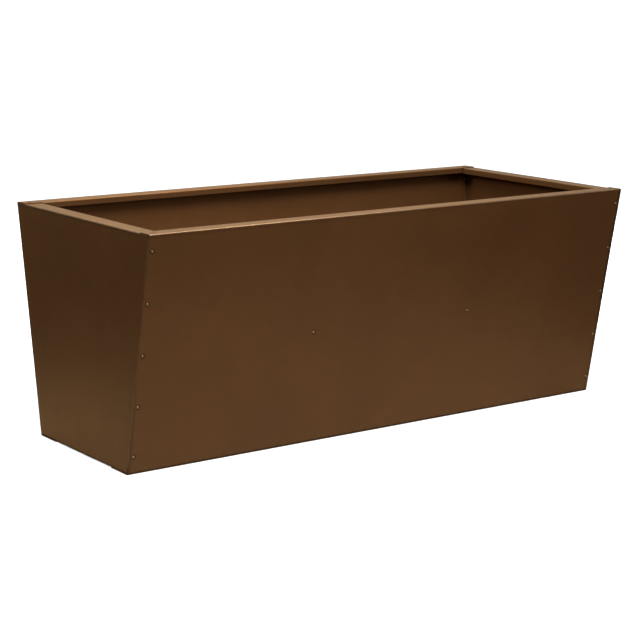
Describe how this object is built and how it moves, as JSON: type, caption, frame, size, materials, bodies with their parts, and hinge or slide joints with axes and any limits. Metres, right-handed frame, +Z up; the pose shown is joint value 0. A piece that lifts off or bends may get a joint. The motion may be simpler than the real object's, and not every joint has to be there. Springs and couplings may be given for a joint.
{
  "type": "raised garden bed",
  "caption": "Long steel planter with leaning front and back panels, upright ends, an inward-folded rim, riveted corner seams, cross braces and a loose drained floor.",
  "frame": {"origin": "centre of the footprint, on the ground", "axes": "+X along the bed's length, -Y to the front panel, +Z up"},
  "size_m": [1.22, 0.5346, 0.4814],
  "materials": {
    "bronze_panels": "semi-gloss metallic bronze powder coat",
    "bronze_rivets": "bronze painted rivets, worn to metal round the bore",
    "mandrel_steel": "dull zinc-plated steel"
  },
  "bodies": {
    "root": {"front_panel": "bronze_panels", "back_panel": "bronze_panels", "left_end_panel": "bronze_panels", "right_end_panel": "bronze_panels", "floor_panel": "bronze_panels", "left_cross_brace": "bronze_panels", "right_cross_brace": "bronze_panels", "front_left_seam_rivets": "bronze_rivets", "front_right_seam_rivets": "bronze_rivets", "back_left_seam_rivets": "bronze_rivets", "back_right_seam_rivets": "bronze_rivets", "front_brace_rivets": "bronze_rivets", "back_brace_rivets": "bronze_rivets", "rim_corner_rivets": "bronze_rivets", "front_left_seam_mandrels": "mandrel_steel", "front_right_seam_mandrels": "mandrel_steel", "back_left_seam_mandrels": "mandrel_steel", "back_right_seam_mandrels": "mandrel_steel", "front_brace_mandrels": "mandrel_steel", "back_brace_mandrels": "mandrel_steel", "rim_corner_mandrels": "mandrel_steel"}
  },
  "joints": []
}
